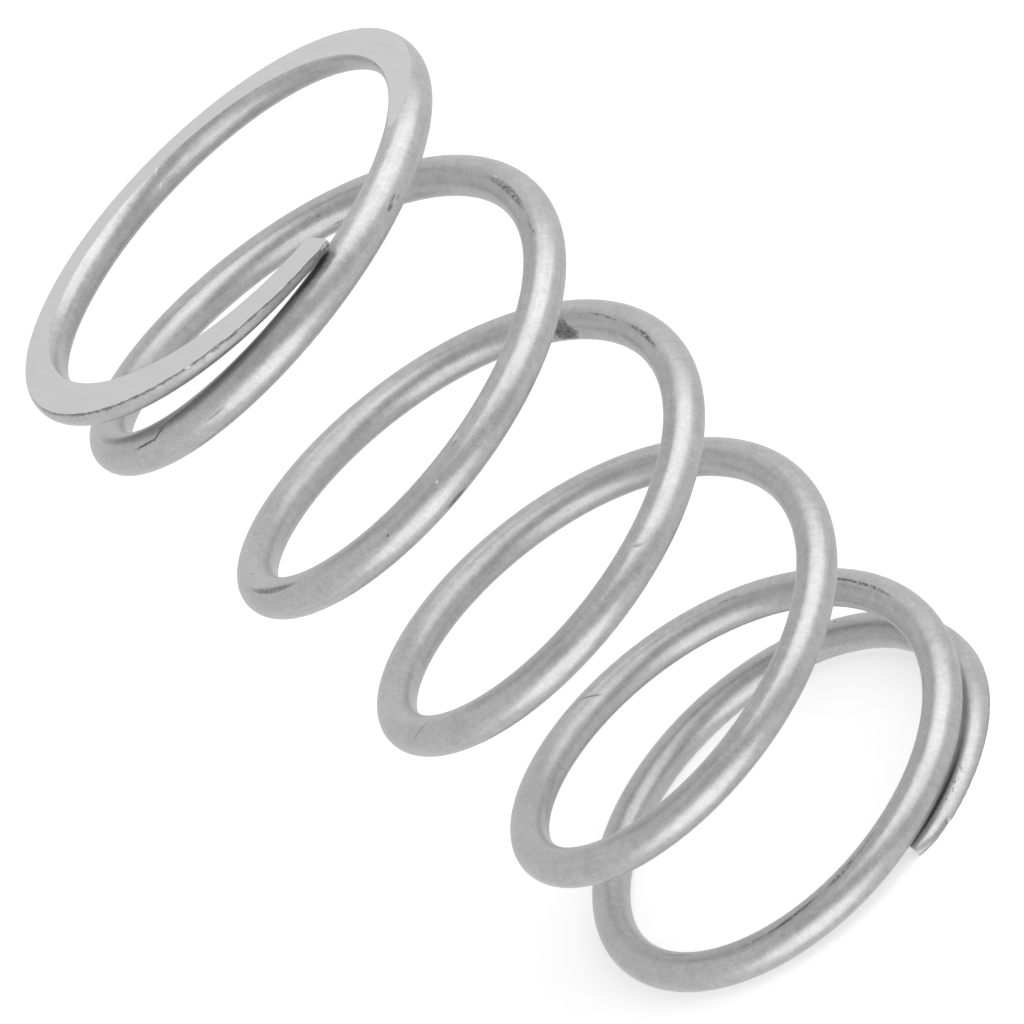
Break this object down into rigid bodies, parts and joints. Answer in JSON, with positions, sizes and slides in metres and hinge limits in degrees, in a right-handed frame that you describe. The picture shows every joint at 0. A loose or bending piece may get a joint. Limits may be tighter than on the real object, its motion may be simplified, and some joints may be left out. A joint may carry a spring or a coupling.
{
  "type": "clutch spring",
  "caption": "Helical compression spring of round wire with closed, flat-ground ends, for a belt-drive clutch.",
  "frame": {"origin": "on the coil's axis at the lower ground end, which stands on z = 0", "axes": "+Z along the coil's axis, towards the upper ground end; +X from the axis towards both wire tips; the coil is right-handed"},
  "size_m": [0.0595, 0.0596, 0.11],
  "materials": {
    "coated_steel": "satin"
  },
  "bodies": {
    "root": {"spring": "coated_steel"}
  },
  "joints": []
}
